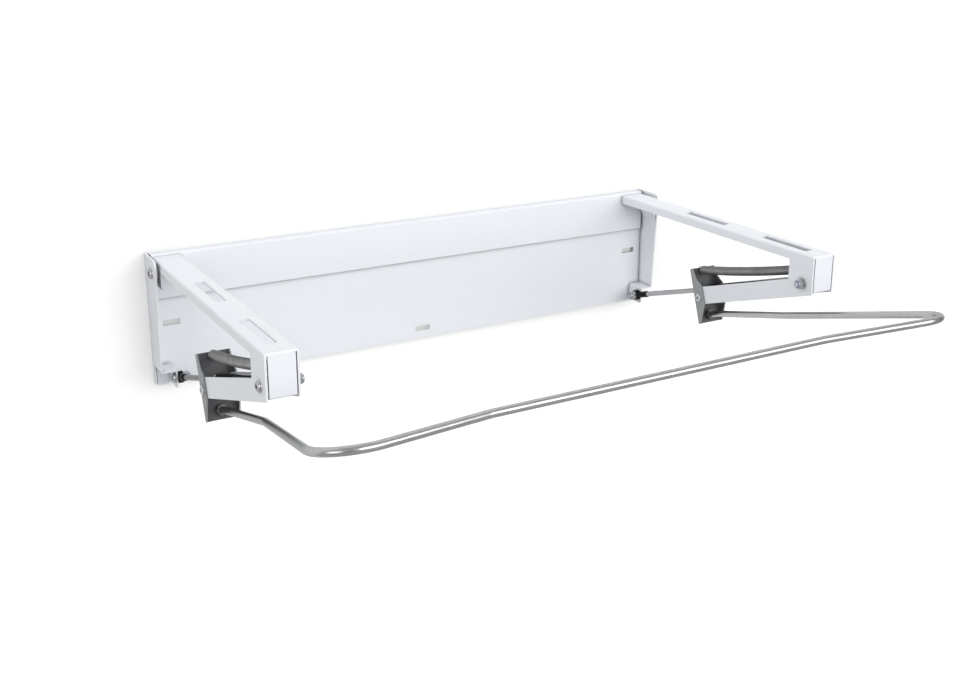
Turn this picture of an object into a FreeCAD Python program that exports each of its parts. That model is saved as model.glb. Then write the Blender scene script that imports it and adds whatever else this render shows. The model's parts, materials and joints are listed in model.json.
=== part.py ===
import FreeCAD, Part
import math
import os

os.makedirs("parts", exist_ok=True)

# Drop leaf table bracket: a wall plate with two tilting arms, gas springs, sprung release brackets and a
# handle bar that joins them.
# Lengths in mm, angles in degrees. Origin: on the wall, midway between the two upper wall slots.
# X runs along the wall, Y points into the wall, Z points up. The right arm is at +X, the left one at -X.

Vec = FreeCAD.Vector

# Driving sizes of the whole bracket
arm_spacing = 800.0          # between the middle planes of the arms
seat_z = 100.0               # top faces of the arms, where the table leaf lies, above the upper wall slots
arm_reach = 472.0            # from the wall to the front faces of the arms

# Arms, each folded from one sheet
arm_width = 40.4
arm_sheet = 2.5
arm_bend = 3.0               # outside radius of the folds
arm_rear_gap = 0.3           # between the rear end of an arm and the top rail that stops it
top_rail_side = 13.5         # height of the sides beside the long opening
opening_from_front = 47.0    # of the long opening in each side, from the front faces of the arms
opening_height = 29.5        # of its front end
box_height = 56.0            # of the front box
lower_rail_slope = 18.1      # fall of the lower rails towards the wall
lip_depth = 14.0             # fold at the bottom of the front flap
flap_gap = 1.5               # between the front flap and the sides
seat_slot_width = 14.0
seat_slot_length = 96.0
seat_slot_from_front = (78.5, 256.5)
slot_corner = 2.0

# Wall plate and top rail
plate_side_gap = 0.8         # between the ends of the wall plate and the side flanges
plate_front = 10.5           # front face of the wall plate from the wall
plate_sheet = 2.5
plate_bottom_z = -91.4
wall_slot_from_end = 25.5    # middle of each upper wall slot from the end of the wall plate
wall_slot_length = 25.0
wall_slot_width = 8.5
wall_slot_corner = 1.5
middle_slot_rise = 16.0      # of the middle wall slot above the lower edge of the plate
rail_front = 15.5            # front face of the top rail from the wall
rail_height = 65.5
rail_sheet = 2.5
rail_rise = 2.8              # top of the top rail above the arms
rail_end_gap = 3.0           # the top rail is this much shorter than the wall plate at each end
fold_radius = 2.6            # outside radius of the folds of the plate and the rail

# Side brackets, each folded from one sheet
bracket_gap = 5.1            # between an arm and the side flange
bracket_sheet = 2.2
bracket_rise = 4.0           # top of the flange above the arms
bracket_corner = 9.0
bracket_inner_bend = 0.6
flange_depth_top = 57.0
flange_depth_bottom = 45.4
ledge_z = -62.5              # underside of the ledge that the flange is folded into
foot_reach = 34.0            # of the foot behind the wall plate, inwards from the flange
corner_relief = 2.0          # notch where the ledge, the flange and its foot meet
tab_offset = 4.3             # inner face of the hanging tab, outwards from the middle plane of the arm
tab_drop = 25.0
tab_rear_gap = 1.0           # between the hanging tab and the wall plate

# Arm pivots
pivot_y = -36.0
pivot_below_seat = 17.5
pivot_lug_radius = 19.5
pivot_lug_front = 57.0       # front edge of the lug from the wall
bolt_diameter = 8.0
bush_diameter = 12.0
bush_collar = 18.0
running_clearance = 0.05
side_clearance = 0.3
head_diameter = 15.0
head_height = 4.2
socket_across = 5.0
washer_diameter = 16.0
washer_thickness = 1.6
nut_across = 13.0
nut_height = 6.5
nut_collar_height = 1.6
bolt_overhang = 1.0

# Gas springs: between the box bolt at the front and the tab at the wall
box_bolt_from_front = 19.5
box_bolt_below_seat = 43.1
rod_pin_y = -38.5
rod_pin_below_ledge = 11.3
tube_diameter = 16.0
tube_wall = 1.4
tube_front = 24.0            # front end of the tube from the box bolt, along the gas spring
tube_rear = 231.0
tube_rear_radius = 3.4
rod_diameter = 8.0
eye_width = 12.0
eye_diameter = 17.0
stem_diameter = 10.0
guide_length = 16.0
piston_length = 8.0
rod_eye_width = 8.0
rod_eye_diameter = 17.2
rod_neck_length = 33.4
rod_neck_diameter = 10.4
rod_socket_depth = 14.0
pin_play_up = 4.4            # of the lower pin in the hole of its tab, upwards
pin_play_down = 4.0
pin_play_front = 0.4
pin_play_rear = 1.4

# Release brackets, each folded from one sheet, and their rivets
lever_from_front = 239.7     # rivets, from the front faces of the arms
lever_above_edge = 11.25     # rivets, above the lower edge of the lower rail
web_lean = 18.4              # lean of the web towards the wall at its top
web_top = 46.4               # above the rivets, along the web
web_bottom = 41.9
web_rear = 11.7              # rear face of the web behind the rivets
lever_sheet = 2.0
lever_side_gap = 0.3
ear_nose = 11.0              # largest reach of an ear in front of the rivets
lever_bend = 2.6
rail_end_gap_to_web = 2.2    # between the rear ends of the lower rails and the web
rod_slot_width = 9.4
rod_slot_above = 5.6         # ends of the slot for the rod from the middle of the rod
rod_slot_below = 8.6
rivet_head_diameter = 13.0
rivet_head_height = 2.4
rivet_tail_diameter = 11.0
rivet_tail_height = 2.0
rivet_hole = 4.0

# Handle bar
handle_diameter = 10.0
handle_below_rivet = 29.8    # along the web
handle_slope = 14.8          # rise of the plane of the bar towards the front
handle_straight = 24.0       # of the threaded ends, from the rear face of the web
handle_tail = 9.0            # of the threaded ends behind the web
handle_flare_behind = 67.0   # where the legs bend outwards, behind the front faces of the arms
handle_corner_outset = 43.3  # where legs and front bar would meet, outside the arms' middle planes
handle_corner_ahead = 219.7  # and ahead of the front faces of the arms
handle_recess_inset = 165.0  # ends of the straight middle of the front bar, inside the arms' middle planes
handle_front_ahead = 172.5   # straight middle of the front bar, ahead of the front faces of the arms
handle_corner_radius = 50.0
handle_flare_radius = 90.0
handle_recess_radius = 70.0
handle_nut_across = 14.0
handle_nut_height = 6.0

# Coil springs
coil_diameter = 14.0
coil_wire = 2.0
coil_rear_on_web = 42.0      # above the rivets, along the web
coil_web_gap = 1.2           # between the web and the first turn, which lies a little askew to it
coil_front_behind = 34.0     # front end of the coil, behind the front face of the arm
coil_front_below_seat = 28.0
coil_sag = 3.1
hook_radius = 4.4
anchor_pin_diameter = 6.0
anchor_pin_behind = 23.0     # behind the front face of the arm
anchor_pin_below_seat = 24.4
rear_hook_bend = 2.4         # of the wire behind the web
rear_hook_rise = 6.5         # of its bent end, from the middle of the hole

# Places worked out from the driving sizes
arm_x = arm_spacing / 2
arm_outer = arm_x + arm_width / 2
arm_inner = arm_x - arm_width / 2
arm_rear_y = -rail_front - arm_rear_gap
flange_inner = arm_outer + bracket_gap
flange_outer = flange_inner + bracket_sheet
plate_half_width = flange_inner - plate_side_gap
wall_slot_x = plate_half_width - wall_slot_from_end
pivot = Vec(arm_x, pivot_y, seat_z - pivot_below_seat)
box_bolt = Vec(arm_x, -arm_reach + box_bolt_from_front, seat_z - box_bolt_below_seat)
rod_pin = Vec(arm_x, rod_pin_y, ledge_z - rod_pin_below_ledge)
box_bottom_z = seat_z - box_height
lower_edge_at_lever = box_bottom_z - lever_from_front * math.tan(math.radians(lower_rail_slope))
lever_pin = Vec(arm_x, -arm_reach + lever_from_front, lower_edge_at_lever + lever_above_edge)
anchor = Vec(arm_x, -arm_reach + anchor_pin_behind, seat_z - anchor_pin_below_seat)
spring_line = rod_pin - box_bolt
spring_length = spring_line.Length
spring_line.normalize()


def rounded_wire(corners, place):
    """Closed wire through corners (u, v, radius), where place turns u and v into a point in space."""
    edges = []
    ends = []
    for index, (u, v, radius) in enumerate(corners):
        here = Vec(u, v, 0)
        before = Vec(*corners[index - 1][:2], 0) - here
        after = Vec(*corners[(index + 1) % len(corners)][:2], 0) - here
        before.normalize()
        after.normalize()
        if radius <= 0:
            ends.append((here, None, here))
            continue
        half_angle = before.getAngle(after) / 2
        setback = radius / math.tan(half_angle)
        middle = before + after
        middle.normalize()
        apex = here + middle * (radius / math.sin(half_angle) - radius)
        ends.append((here + before * setback, apex, here + after * setback))
    for index, (start, apex, stop) in enumerate(ends):
        if apex is not None:
            edges.append(Part.Arc(place(start), place(apex), place(stop)).toShape())
        following = ends[(index + 1) % len(ends)][0]
        if (following - stop).Length > 1e-6:
            edges.append(Part.makeLine(place(stop), place(following)))
    return Part.Wire(edges)


def plate_x(corners, x, thickness):
    """Plate with an outline in Y and Z, from x to x + thickness."""
    wire = rounded_wire(corners, lambda p: Vec(x, p.x, p.y))
    return Part.Face(wire).extrude(Vec(thickness, 0, 0))


def plate_y(corners, y, thickness):
    """Plate with an outline in X and Z, from y to y + thickness."""
    wire = rounded_wire(corners, lambda p: Vec(p.x, y, p.y))
    return Part.Face(wire).extrude(Vec(0, thickness, 0))


def plate_z(corners, z, thickness):
    """Plate with an outline in X and Y, from z to z + thickness."""
    wire = rounded_wire(corners, lambda p: Vec(p.x, p.y, z))
    return Part.Face(wire).extrude(Vec(0, 0, thickness))


def rectangle(u0, v0, u1, v1, radius=0.0):
    return [(u0, v0, radius), (u1, v0, radius), (u1, v1, radius), (u0, v1, radius)]


def block(x0, y0, z0, x1, y1, z1):
    return Part.makeBox(x1 - x0, y1 - y0, z1 - z0, Vec(x0, y0, z0))


def pin_x(centre, diameter, x0, x1):
    """Round pin along X through a point, from x0 to x1."""
    base = Vec(x0, centre.y, centre.z)
    return Part.makeCylinder(diameter / 2, x1 - x0, base, Vec(1, 0, 0))


def ring_x(centre, outer, inner, x0, x1):
    return pin_x(centre, outer, x0, x1).cut(pin_x(centre, inner, x0 - 1, x1 + 1))


def turned(profile, base, direction):
    """Solid of revolution: profile holds (distance along the axis, radius) from base."""
    points = [Vec(radius, 0, along) for along, radius in profile]
    wire = Part.makePolygon(points + [points[0]])
    shape = Part.Face(wire).revolve(Vec(0, 0, 0), Vec(0, 0, 1), 360)
    return placed_along(shape, base, direction)


def placed_along(shape, base, direction):
    """Moves a shape whose axis is Z from the origin to base, with its axis along direction."""
    turn = FreeCAD.Rotation(Vec(0, 0, 1), direction)
    shape.Placement = FreeCAD.Placement(base, turn)
    return shape


def dome(radius, height, steps=5):
    """Profile of a low domed head, from its rim to its flattened top."""
    flat = radius * 0.45
    points = []
    for step in range(steps + 1):
        angle = math.radians(90 * step / steps)
        points.append((height * math.sin(angle), flat + (radius - flat) * math.cos(angle)))
    return points


def hex_prism(across, height, base, direction):
    corners = []
    for corner in range(6):
        angle = math.radians(60 * corner)
        reach = across / math.sqrt(3)
        corners.append(Vec(reach * math.cos(angle), reach * math.sin(angle), 0))
    wire = Part.makePolygon(corners + [corners[0]])
    prism = Part.Face(wire).extrude(Vec(0, 0, height))
    return placed_along(prism, base, direction)


def socket_bolt(seat, direction, length):
    """Domed socket screw: the head stands on the seat and the shank runs along direction."""
    back = direction * -1
    head = turned([(0, 0)] + dome(head_diameter / 2, head_height) + [(head_height, 0)], seat, back)
    socket_depth = head_height * 0.6
    mouth = seat + back * (head_height - socket_depth)
    head = head.cut(hex_prism(socket_across, socket_depth + 1, mouth, back))
    shank = Part.makeCylinder(bolt_diameter / 2, length, seat, direction)
    return head.fuse(shank).removeSplitter()


def flat_washer(seat, direction, outer, inner, thickness):
    profile = [(0, inner / 2), (0, outer / 2), (thickness, outer / 2), (thickness, inner / 2)]
    return turned(profile, seat, direction)


def locking_nut(seat, direction):
    """Hexagon nut with a chamfered face and a round collar that holds the locking ring."""
    nut = hex_prism(nut_across, nut_height, seat, direction)
    corner = nut_across / math.sqrt(3) + 0.05
    face = nut_across / 2 - 0.1
    chamfer = 1.2
    envelope = turned([(0, 0), (0, face), (chamfer, corner), (nut_height - chamfer, corner),
                       (nut_height, face), (nut_height, 0)], seat, direction)
    nut = nut.common(envelope)
    collar = turned([(0, 0), (0, face - 0.4), (nut_collar_height * 0.6, face - 0.4),
                     (nut_collar_height, face - 1.2), (nut_collar_height, 0)],
                    seat + direction * nut_height, direction)
    bore_length = nut_height + nut_collar_height + 2
    bore = Part.makeCylinder(bolt_diameter / 2, bore_length, seat - direction, direction)
    return nut.fuse(collar).removeSplitter().cut(bore)


def rod_length(fixed_parts):
    """Shank length of a bolt that passes the fixed parts, a washer and a nut."""
    return fixed_parts + washer_thickness + nut_height + nut_collar_height + bolt_overhang


def mirrored(shape):
    return shape.mirror(Vec(0, 0, 0), Vec(1, 0, 0))


def save(name, shape):
    shape.exportStep("parts/" + name + ".step")


def save_pair(name, shape):
    """The right-hand piece as modelled, and its mirror image on the left."""
    save("right_" + name, shape)
    save("left_" + name, mirrored(shape))


# Wall frame

def wall_plate():
    """Shallow pan: a face with returns at the sides, the top and the bottom, and three wall slots."""
    rear = -plate_front + plate_sheet
    top = seat_z
    pan = plate_y(rectangle(-plate_half_width, plate_bottom_z, plate_half_width, top, 1.0),
                  -plate_front, plate_sheet)
    side_rear = -bracket_sheet
    for side in (-1, 1):
        edge = side * plate_half_width
        inside = side * (plate_half_width - plate_sheet)
        pan = pan.fuse(block(min(edge, inside), rear, plate_bottom_z + 1,
                             max(edge, inside), side_rear, top - 1))
    foot_end = flange_inner - foot_reach - 1.0
    for low in (plate_bottom_z, top - plate_sheet):
        pan = pan.fuse(block(-foot_end, rear, low, foot_end, 0, low + plate_sheet))
    slot_places = [(-wall_slot_x, 0), (wall_slot_x, 0), (0, plate_bottom_z + middle_slot_rise)]
    for x, z in slot_places:
        outline = rectangle(x - wall_slot_length / 2, z - wall_slot_width / 2,
                            x + wall_slot_length / 2, z + wall_slot_width / 2, wall_slot_corner)
        pan = pan.cut(plate_y(outline, -plate_front - 1, plate_front + 2))
    return pan.removeSplitter()


def top_rail():
    """Channel across the top: front face, top return to the wall and bottom return to the plate."""
    half = plate_half_width - rail_end_gap
    top = seat_z + rail_rise
    bottom = top - rail_height
    inner_bend = max(fold_radius - rail_sheet, 0.1)
    outline = [(0, top, 0), (-rail_front, top, fold_radius), (-rail_front, bottom, fold_radius),
               (-plate_front, bottom, 0), (-plate_front, bottom + rail_sheet, 0),
               (-rail_front + rail_sheet, bottom + rail_sheet, inner_bend),
               (-rail_front + rail_sheet, top - rail_sheet, inner_bend), (0, top - rail_sheet, 0)]
    return plate_x(outline, -half, 2 * half)


def side_bracket():
    """Flange beside the arm, with a foot behind the wall plate and a ledge with a hanging tab."""
    top = seat_z + bracket_rise
    tab_inner = arm_x + tab_offset
    tab_outer = tab_inner + bracket_sheet
    tab_bottom = ledge_z - tab_drop
    ledge_top = ledge_z + bracket_sheet
    outer_bend = bracket_sheet + bracket_inner_bend
    section = [(flange_outer, top, 0), (flange_inner, top, 0), (flange_inner, ledge_top, bracket_inner_bend),
               (tab_inner, ledge_top, outer_bend), (tab_inner, tab_bottom, 0), (tab_outer, tab_bottom, 0),
               (tab_outer, ledge_z, bracket_inner_bend), (flange_outer, ledge_z, outer_bend)]
    sheet = plate_y(section, -flange_depth_top - 1, flange_depth_top + 1)
    front_bottom = (-flange_depth_bottom, ledge_z, 0)
    tab_rear = plate_front + tab_rear_gap
    silhouette = [(0, top, 0), (-flange_depth_top, top, bracket_corner), front_bottom,
                  (-flange_depth_bottom, tab_bottom, 3.0), (-tab_rear, tab_bottom, 1.0),
                  (-tab_rear, ledge_top + bracket_inner_bend, 0),
                  (0, ledge_top + bracket_inner_bend, 0)]
    sheet = sheet.common(plate_x(silhouette, tab_inner - 5, foot_reach + 30))
    foot_bottom = plate_bottom_z + 2
    foot_inner = flange_inner - foot_reach
    flange_foot = [(flange_outer, 0, 1.6), (foot_inner, 0, 0), (foot_inner, -bracket_sheet, 0),
                   (flange_inner, -bracket_sheet, bracket_inner_bend), (flange_inner, -plate_front, 0),
                   (flange_outer, -plate_front, 0)]
    foot_top = seat_z + rail_rise - rail_sheet - side_clearance
    foot = plate_z(flange_foot, foot_bottom, foot_top - foot_bottom)
    slot = rectangle(wall_slot_x - wall_slot_length / 2 - 1, -wall_slot_width / 2 - 1,
                     wall_slot_x + wall_slot_length / 2 + 1, wall_slot_width / 2 + 1,
                     wall_slot_corner)
    foot = foot.cut(plate_y(slot, -bracket_sheet - 1, bracket_sheet + 2))
    relief = block(flange_inner - 0.01, -tab_rear - corner_relief, ledge_z - 1,
                   flange_outer + 1, -plate_front, ledge_top + bracket_inner_bend)
    sheet = sheet.cut(relief)
    shape = sheet.fuse(foot).removeSplitter()
    shape = shape.cut(pin_x(pivot, bolt_diameter + 0.2, flange_inner - 2, flange_outer + 2))
    return shape.cut(rod_pin_hole(tab_inner - 1, bracket_sheet + 2))


def rod_pin_hole(x, length):
    """Long hole of the lower pin: the pin leaves its middle a little while the arms tilt."""
    radius = bolt_diameter / 2
    outline = rectangle(rod_pin.y - radius - pin_play_front, rod_pin.z - radius - pin_play_down,
                        rod_pin.y + radius + pin_play_rear, rod_pin.z + radius + pin_play_up, radius)
    return plate_x(outline, x, length)


def pivot_pieces():
    """Bolt, bush, washer and locking nut of an arm pivot, from the flange inwards."""
    inwards = Vec(-1, 0, 0)
    lug_inner = arm_outer - arm_sheet
    bush_end = lug_inner - side_clearance
    shank = flange_outer - bush_end
    bolt = socket_bolt(Vec(flange_outer, pivot.y, pivot.z), inwards, rod_length(shank))
    sleeve = ring_x(pivot, bush_diameter, bolt_diameter, bush_end, flange_inner)
    collar = ring_x(pivot, bush_collar, bolt_diameter, arm_outer + side_clearance, flange_inner)
    bush = sleeve.fuse(collar).removeSplitter()
    washer_seat = Vec(bush_end, pivot.y, pivot.z)
    washer = flat_washer(washer_seat, inwards, washer_diameter, bolt_diameter, washer_thickness)
    nut = locking_nut(washer_seat + inwards * washer_thickness, inwards)
    return {"pivot_bolt": bolt, "pivot_bush": bush, "pivot_washer": washer, "pivot_nut": nut}


# Arms

def rail_line(y, start_y, start_z):
    """Height of a sloping edge of the lower rail at y."""
    return start_z - (y - start_y) * math.tan(math.radians(lower_rail_slope))


def web_point(along, forward):
    """Point in Y and Z from the rivets: along the web upwards, and square to it to the front."""
    lean = math.radians(web_lean)
    return (lever_pin.y + along * math.sin(lean) - forward * math.cos(lean),
            lever_pin.z + along * math.cos(lean) + forward * math.sin(lean))


def rail_end(start_y, start_z):
    """Where a sloping edge of the lower rail meets its rear end, which is parallel to the web."""
    forward = -(web_rear - lever_sheet - rail_end_gap_to_web)
    low, high = -60.0, 60.0
    for _ in range(60):
        middle = (low + high) / 2
        y, z = web_point(middle, forward)
        if z > rail_line(y, start_y, start_z):
            high = middle
        else:
            low = middle
    return web_point(low, forward)


def arm_outline():
    """Side of an arm: top rail, front box and the lower rail that falls back towards the wall."""
    front = -arm_reach
    opening_front = front + opening_from_front
    opening_top = seat_z - top_rail_side
    opening_bottom = opening_top - opening_height
    low_y, low_z = rail_end(front, box_bottom_z)
    high_y, high_z = rail_end(opening_front, opening_bottom)
    return [(arm_rear_y, seat_z, 0), (front, seat_z, arm_bend), (front, box_bottom_z, 2.0),
            (low_y, low_z, 6.0), (high_y, high_z, 6.0), (opening_front, opening_bottom, 2.5),
            (opening_front, opening_top, 2.5), (arm_rear_y, opening_top, 0)]


def arm():
    """One folded sheet: top with two slots, two cut-out sides, a pivot lug and a front flap with a lip."""
    low = lever_pin.z - 60
    inner_bend = arm_bend - arm_sheet
    outside = plate_y([(arm_inner, low, 0), (arm_outer, low, 0), (arm_outer, seat_z, arm_bend),
                       (arm_inner, seat_z, arm_bend)], -arm_reach, arm_reach + arm_rear_y)
    inside = plate_y([(arm_inner + arm_sheet, low - 1, 0), (arm_outer - arm_sheet, low - 1, 0),
                      (arm_outer - arm_sheet, seat_z - arm_sheet, inner_bend),
                      (arm_inner + arm_sheet, seat_z - arm_sheet, inner_bend)],
                     -arm_reach - 1, arm_reach + arm_rear_y + 2)
    shape = outside.cut(inside).common(plate_x(arm_outline(), arm_inner - 1, arm_width + 2))
    shape = shape.fuse(pivot_lug())
    shape = shape.fuse(front_flap())
    for from_front in seat_slot_from_front:
        middle = -arm_reach + from_front
        slot = rectangle(arm_x - seat_slot_width / 2, middle - seat_slot_length / 2,
                         arm_x + seat_slot_width / 2, middle + seat_slot_length / 2, slot_corner)
        shape = shape.cut(plate_z(slot, seat_z - arm_sheet - 1, arm_sheet + 2))
    bush_hole = bush_diameter + 2 * running_clearance
    shape = shape.cut(pin_x(pivot, bush_hole, arm_outer - arm_sheet - 1, arm_outer + 1))
    shape = shape.cut(pin_x(box_bolt, bolt_diameter, arm_inner - 1, arm_outer + 1))
    shape = shape.cut(pin_x(lever_pin, bolt_diameter, arm_inner - 1, arm_outer + 1))
    return shape.removeSplitter()


def pivot_lug():
    """Lug below the rear end of the outer side, round towards the wall so that it clears the top rail."""
    bottom = pivot.z - pivot_lug_radius
    top = seat_z - arm_bend
    outline = [(pivot.y + pivot_lug_radius, top, 0), (-pivot_lug_front, top, 0),
               (-pivot_lug_front, bottom, 3.0),
               (pivot.y + pivot_lug_radius, bottom, pivot_lug_radius - 0.01)]
    return plate_x(outline, arm_outer - arm_sheet, arm_sheet)


def front_flap():
    """Front of the box, folded down from the top and back again at the bottom."""
    front = -arm_reach
    bottom = box_bottom_z + 1.5
    inner_bend = arm_bend - arm_sheet
    outline = [(front + 10, seat_z, 0), (front, seat_z, arm_bend), (front, bottom, arm_bend),
               (front + lip_depth, bottom, 0), (front + lip_depth, bottom + arm_sheet, 0),
               (front + arm_sheet, bottom + arm_sheet, inner_bend),
               (front + arm_sheet, seat_z - arm_sheet, inner_bend),
               (front + 10, seat_z - arm_sheet, 0)]
    half = arm_width / 2 - arm_sheet - flap_gap
    return plate_x(outline, arm_x - half, 2 * half)


def box_bolt_pieces():
    """Bolt, spacers, washer and locking nut that carry the front eye of the gas spring."""
    inwards = Vec(-1, 0, 0)
    bolt = socket_bolt(Vec(arm_outer, box_bolt.y, box_bolt.z), inwards, rod_length(arm_width))
    washer_seat = Vec(arm_inner, box_bolt.y, box_bolt.z)
    washer = flat_washer(washer_seat, inwards, washer_diameter, bolt_diameter, washer_thickness)
    nut = locking_nut(washer_seat + inwards * washer_thickness, inwards)
    eye_side = eye_width / 2 + side_clearance
    wall = arm_width / 2 - arm_sheet
    spacers = Part.makeCompound([
        ring_x(box_bolt, bush_diameter, bolt_diameter, arm_x + eye_side, arm_x + wall),
        ring_x(box_bolt, bush_diameter, bolt_diameter, arm_x - wall, arm_x - eye_side)])
    return {"box_bolt": bolt, "box_bolt_washer": washer, "box_bolt_nut": nut, "box_bolt_spacers": spacers}


# Gas springs

def on_spring(distance):
    """Point on the axis of the gas spring, measured from the box bolt."""
    return box_bolt + spring_line * distance


def gas_spring_tube():
    """Tube with a closed front end and a rear end rolled over the rod guide."""
    outer = tube_diameter / 2
    bore = outer - tube_wall
    mouth = rod_diameter / 2 + side_clearance
    profile = [(tube_front, 0), (tube_front, outer - 2), (tube_front + 2, outer)]
    for step in range(7):
        angle = math.radians(15 * step)
        profile.append((tube_rear - tube_rear_radius * (1 - math.sin(angle)),
                        outer - tube_rear_radius * (1 - math.cos(angle))))
    profile += [(tube_rear, mouth), (tube_rear - tube_wall, mouth),
                (tube_rear - tube_wall - 1, bore), (tube_front + 6, bore), (tube_front + 6, 0)]
    return turned(profile, box_bolt, spring_line)


def front_eye():
    """Eye on the box bolt with the stem that the tube is screwed to."""
    half = eye_width / 2
    eye = pin_x(box_bolt, eye_diameter, arm_x - half, arm_x + half)
    stem = Part.makeCylinder(stem_diameter / 2, tube_front, box_bolt, spring_line)
    bore = pin_x(box_bolt, bolt_diameter + 2 * running_clearance, arm_x - half - 1, arm_x + half + 1)
    return eye.fuse(stem).cut(bore).removeSplitter()


def rod_guide():
    """Guide and seal inside the rear end of the tube."""
    outer = tube_diameter / 2 - tube_wall
    bore = rod_diameter / 2 + running_clearance
    rear = tube_rear - tube_wall - 1.2
    profile = [(rear - guide_length, bore), (rear - guide_length, outer), (rear, outer), (rear, bore)]
    return turned(profile, box_bolt, spring_line)


def piston_place():
    """Front and rear face of the piston at rest, with the gas spring fully out."""
    rear = tube_rear - tube_wall - 1.2 - guide_length - 1.0
    return rear - piston_length, rear


def piston():
    front, rear = piston_place()
    outer = tube_diameter / 2 - tube_wall - running_clearance
    groove = outer - 0.8
    third = piston_length / 3
    profile = [(front, rod_diameter / 2), (front, outer), (front + third, outer),
               (front + third, groove), (rear - third, groove), (rear - third, outer),
               (rear, outer), (rear, rod_diameter / 2)]
    return turned(profile, box_bolt, spring_line)


def piston_rod():
    front, _ = piston_place()
    end = spring_length - rod_neck_length + rod_socket_depth
    profile = [(front - 1.5, 0), (front - 1.5, rod_diameter / 2 - 0.8), (front - 0.7, rod_diameter / 2),
               (end, rod_diameter / 2), (end, 0)]
    return turned(profile, box_bolt, spring_line)


def rod_end():
    """Eye at the wall end of the rod: a flat round eye, and a neck that the rod is screwed into."""
    half = rod_eye_width / 2
    back = spring_line * -1
    eye = pin_x(rod_pin, rod_eye_diameter, arm_x - half, arm_x + half)
    radius = rod_neck_diameter / 2
    eye_radius = rod_eye_diameter / 2
    profile = [(eye_radius * 0.5, 0), (eye_radius * 0.5, half - 0.6), (eye_radius + 0.5, half - 0.2),
               (eye_radius + 6, radius), (rod_neck_length - 0.5, radius), (rod_neck_length, radius - 0.4),
               (rod_neck_length, 0)]
    neck = turned(profile, rod_pin, back)
    shape = eye.fuse(neck).removeSplitter()
    shape = shape.cut(pin_x(rod_pin, bolt_diameter, arm_x - half - 4, arm_x + half + 4))
    socket = Part.makeCylinder(rod_diameter / 2, rod_socket_depth + 1,
                               rod_pin + back * (rod_neck_length - rod_socket_depth), back)
    mouth = turned([(rod_neck_length - 2, 0), (rod_neck_length - 2, rod_diameter / 2),
                    (rod_neck_length + 1, rod_diameter / 2 + 0.6), (rod_neck_length + 1, 0)], rod_pin, back)
    return shape.cut(socket).cut(mouth)


def rod_end_bolt_pieces():
    """Lower pin of the gas spring: its head lies outside the tab, its nut inside the rod eye."""
    inwards = Vec(-1, 0, 0)
    half = rod_eye_width / 2
    head_seat = arm_x + tab_offset + bracket_sheet + side_clearance
    span = head_seat - (arm_x - half)
    bolt = socket_bolt(Vec(head_seat, rod_pin.y, rod_pin.z), inwards, rod_length(span))
    washer_seat = Vec(arm_x - half, rod_pin.y, rod_pin.z)
    washer = flat_washer(washer_seat, inwards, washer_diameter - 1, bolt_diameter, washer_thickness)
    nut = locking_nut(washer_seat + inwards * washer_thickness, inwards)
    return {"rod_end_bolt": bolt, "rod_end_washer": washer, "rod_end_nut": nut}


# Release brackets and handle

def on_web(along, forward, x=arm_x):
    y, z = web_point(along, forward)
    return Vec(x, y, z)


def web_normal():
    """Direction square to the web, to the front."""
    lean = math.radians(web_lean)
    return Vec(0, -math.cos(lean), math.sin(lean))


def rod_crossing():
    """Height along the web at which the rod passes it."""
    start = on_web(0, -web_rear + lever_sheet / 2)
    normal = web_normal()
    distance = (start - box_bolt).dot(normal) / spring_line.dot(normal)
    lean = math.radians(web_lean)
    return (on_spring(distance) - start).dot(Vec(0, math.sin(lean), math.cos(lean)))


def web_hole(x0, low, x1, high, radius):
    """Cutter for a hole in the web, from its left and right edges and its ends along the web."""
    place = lambda p: on_web(p.y, -web_rear - 2, p.x)
    face = Part.Face(rounded_wire(rectangle(x0, low, x1, high, radius), place))
    return face.extrude(web_normal() * (lever_sheet + 6))


def release_bracket():
    """Web across the arm with the rod, the handle and the coil spring in it, and an ear on each side."""
    inner = arm_width / 2 + lever_side_gap
    outer = inner + lever_sheet
    ear = [(web_top, -web_rear, 0), (web_top, -5.0, 1.5), (28.6, 1.0, 6.0), (18.2, ear_nose - 0.6, 3.0),
           (14.0, ear_nose, 4.0), (-11.5, ear_nose, 8.0), (-web_bottom, -6.0, 1.5),
           (-web_bottom, -web_rear, 0)]
    ears = Part.Face(rounded_wire(ear, lambda p: on_web(p.x, p.y, arm_x - outer)))
    ears = ears.extrude(Vec(2 * outer, 0, 0))
    reach = ear_nose + web_rear + 2
    inner_bend = lever_bend - lever_sheet

    def section(half, rear, front, radius, extra):
        place = lambda p: on_web(-web_bottom - extra, p.y, arm_x + p.x)
        corners = [(-half, front, 0), (-half, rear, radius), (half, rear, radius), (half, front, 0)]
        face = Part.Face(rounded_wire(corners, place))
        lean = math.radians(web_lean)
        length = web_top + web_bottom + 2 * extra
        return face.extrude(Vec(0, math.sin(lean), math.cos(lean)) * length)

    channel = section(outer, -web_rear, reach, lever_bend, 0)
    channel = channel.cut(section(inner, -web_rear + lever_sheet, reach + 1, inner_bend, 1))
    shape = channel.common(ears)
    crossing = rod_crossing()
    shape = shape.cut(web_hole(arm_x - rod_slot_width / 2, crossing - rod_slot_below,
                               arm_x + rod_slot_width / 2, crossing + rod_slot_above,
                               rod_slot_width / 2 - 0.01))
    handle_hole = Part.makeCylinder(handle_diameter / 2, 12, on_web(-handle_below_rivet, -web_rear - 4),
                                    web_normal())
    hook_hole = Part.makeCylinder(coil_wire / 2 + 0.5, 12, on_web(coil_rear_on_web, -web_rear - 4),
                                  web_normal())
    rivet_holes = pin_x(lever_pin, bolt_diameter + 2 * running_clearance,
                        arm_x - outer - 1, arm_x + outer + 1)
    return shape.cut(handle_hole).cut(hook_hole).cut(rivet_holes).removeSplitter()


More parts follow.
